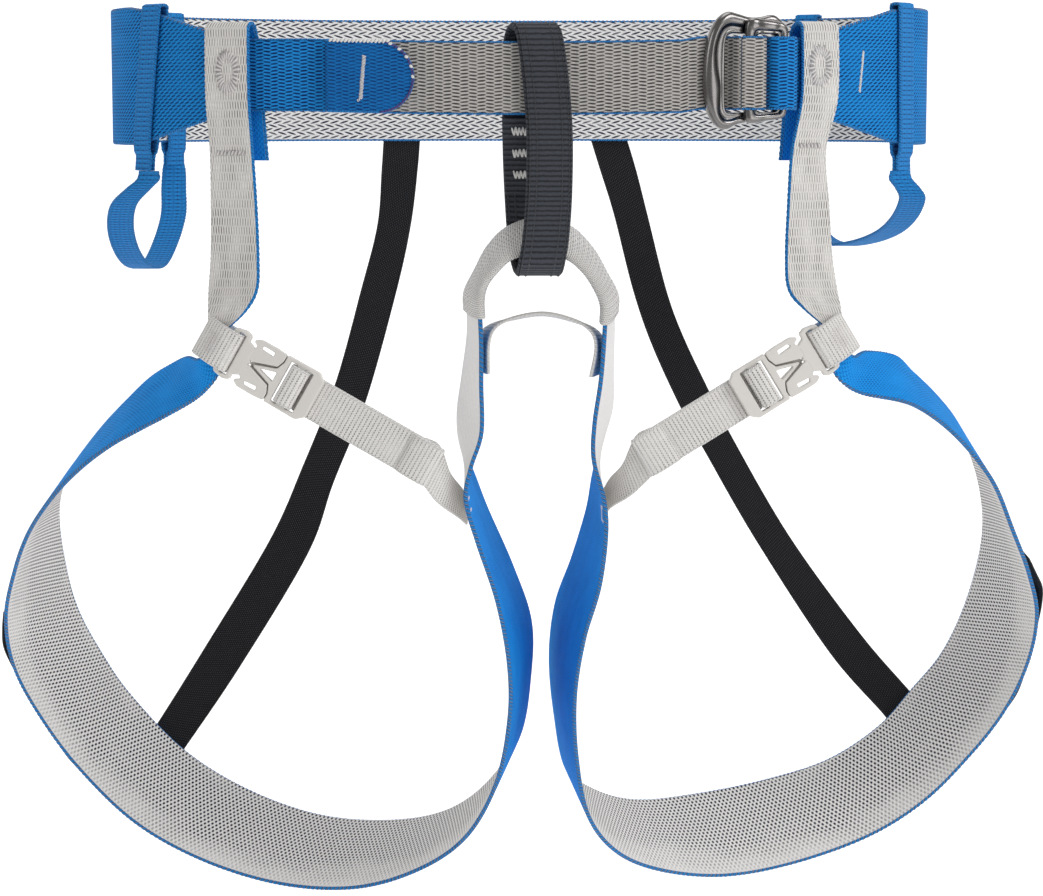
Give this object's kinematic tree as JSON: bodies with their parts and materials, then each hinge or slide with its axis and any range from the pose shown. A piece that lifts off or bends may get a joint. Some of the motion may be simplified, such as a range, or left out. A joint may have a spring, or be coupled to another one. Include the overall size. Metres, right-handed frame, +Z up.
{
  "type": "climbing harness",
  "caption": "Light webbing climbing harness with a double-back waist buckle, belay loop, gear loops and leg loops with side-release buckles.",
  "frame": {"origin": "centre of the waist opening at the belt's mid-height, where the wearer's waist holds the harness", "axes": "+X to the wearer's left, the widest way; +Y to the wearer's back, the narrowest way; +Z up"},
  "size_m": [0.4091, 0.2148, 0.3527],
  "materials": {
    "blue_webbing": "woven, blue outer face with a grey inner face",
    "grey_webbing": "woven, light grey",
    "pale_webbing": "fine ribbed weave",
    "charcoal_webbing": "ribbed weave",
    "black_elastic": "fine twill elastic",
    "gunmetal": "satin anodised",
    "grey_plastic": "fine moulded texture"
  },
  "bodies": {
    "harness": {"waist_belt": "blue_webbing", "waist_strap": "blue_webbing", "waist_strap_tail": "grey_webbing", "waist_tail_stop": "blue_webbing", "waist_buckle_frame": "gunmetal", "waist_buckle_strap": "blue_webbing", "leg_loop_bridge": "grey_webbing", "bridge_sleeve": "pale_webbing", "bridge_cross_strap": "pale_webbing", "left_riser": "grey_webbing", "left_leg_loop": "grey_webbing", "left_screw_holder": "black_elastic", "left_rear_elastic": "black_elastic", "left_buckle_male": "grey_plastic", "left_hip_collar": "pale_webbing", "left_strap_anchor": "pale_webbing", "left_gear_holder_front": "blue_webbing", "left_gear_holder_rear": "blue_webbing", "right_riser": "grey_webbing", "right_leg_loop": "grey_webbing", "right_screw_holder": "black_elastic", "right_rear_elastic": "black_elastic", "right_buckle_male": "grey_plastic", "right_hip_collar": "pale_webbing", "right_strap_anchor": "pale_webbing", "right_gear_holder_front": "blue_webbing", "right_gear_holder_rear": "blue_webbing"},
    "buckle_plate": {"waist_buckle_plate": "gunmetal", "waist_strap_loop": "grey_webbing"},
    "belay": {"belay_loop": "charcoal_webbing", "belay_loop_overlap": "charcoal_webbing"},
    "left_gear": {"left_gear_loop": "blue_webbing"},
    "left_upper_prong": {"left_prong_upper": "grey_plastic"},
    "left_lower_prong": {"left_prong_lower": "grey_plastic"},
    "left_release": {"left_buckle_female": "grey_plastic", "left_leg_strap": "pale_webbing", "left_leg_strap_tail": "pale_webbing", "left_strap_stop": "pale_webbing"},
    "right_gear": {"right_gear_loop": "blue_webbing"},
    "right_upper_prong": {"right_prong_upper": "grey_plastic"},
    "right_lower_prong": {"right_prong_lower": "grey_plastic"},
    "right_release": {"right_buckle_female": "grey_plastic", "right_leg_strap": "pale_webbing", "right_leg_strap_tail": "pale_webbing", "right_strap_stop": "pale_webbing"}
  },
  "joints": [
    {"name": "buckle_plate_tilt", "type": "hinge", "parent": "harness", "child": "buckle_plate", "pos_m": [0.09014, -0.08969, 0.0005], "axis": [0, 0, 1], "range_deg": [0, 12]},
    {"name": "belay_loop_slide", "type": "slide", "parent": "harness", "child": "belay", "axis": [1, 0, 0], "range_m": [-0.003, 0.003]},
    {"name": "left_gear_loop_swing", "type": "hinge", "parent": "harness", "child": "left_gear", "pos_m": [-0.133, 0, -0.0348], "axis": [-0.0219, 0.9998, 0], "range_deg": [-20, 35]},
    {"name": "left_upper_prong_flex", "type": "hinge", "parent": "harness", "child": "left_upper_prong", "pos_m": [-0.093, -0.08458, -0.09685], "axis": [-0.0764, -0.9961, 0.0433], "range_deg": [0, 5], "stiffness_Nm_per_rad": 0.05},
    {"name": "left_lower_prong_flex", "type": "hinge", "parent": "harness", "child": "left_lower_prong", "pos_m": [-0.09615, -0.08458, -0.10242], "axis": [-0.0764, -0.9961, 0.0433], "range_deg": [-5, 0], "stiffness_Nm_per_rad": 0.05},
    {"name": "left_buckle_release", "type": "slide", "parent": "harness", "child": "left_release", "axis": [0.867, -0.0878, -0.4906], "range_m": [0, 0.018]},
    {"name": "right_gear_loop_swing", "type": "hinge", "parent": "harness", "child": "right_gear", "pos_m": [0.125, 0.008, -0.0348], "axis": [0.1629, -0.9866, 0], "range_deg": [-20, 35]},
    {"name": "right_upper_prong_flex", "type": "hinge", "parent": "harness", "child": "right_upper_prong", "pos_m": [0.09772, -0.08463, -0.09588], "axis": [-0.0809, 0.9955, -0.0492], "range_deg": [0, 5], "stiffness_Nm_per_rad": 0.05},
    {"name": "right_lower_prong_flex", "type": "hinge", "parent": "harness", "child": "right_lower_prong", "pos_m": [0.10104, -0.08463, -0.10135], "axis": [-0.0809, 0.9955, -0.0492], "range_deg": [-5, 0], "stiffness_Nm_per_rad": 0.05},
    {"name": "right_buckle_release", "type": "slide", "parent": "harness", "child": "right_release", "axis": [-0.8509, -0.0947, -0.5168], "range_m": [0, 0.018]}
  ],
  "couplings": [
    {"joint": "left_lower_prong_flex", "follows": "left_upper_prong_flex", "ratio": -1},
    {"joint": "right_lower_prong_flex", "follows": "right_upper_prong_flex", "ratio": -1}
  ]
}
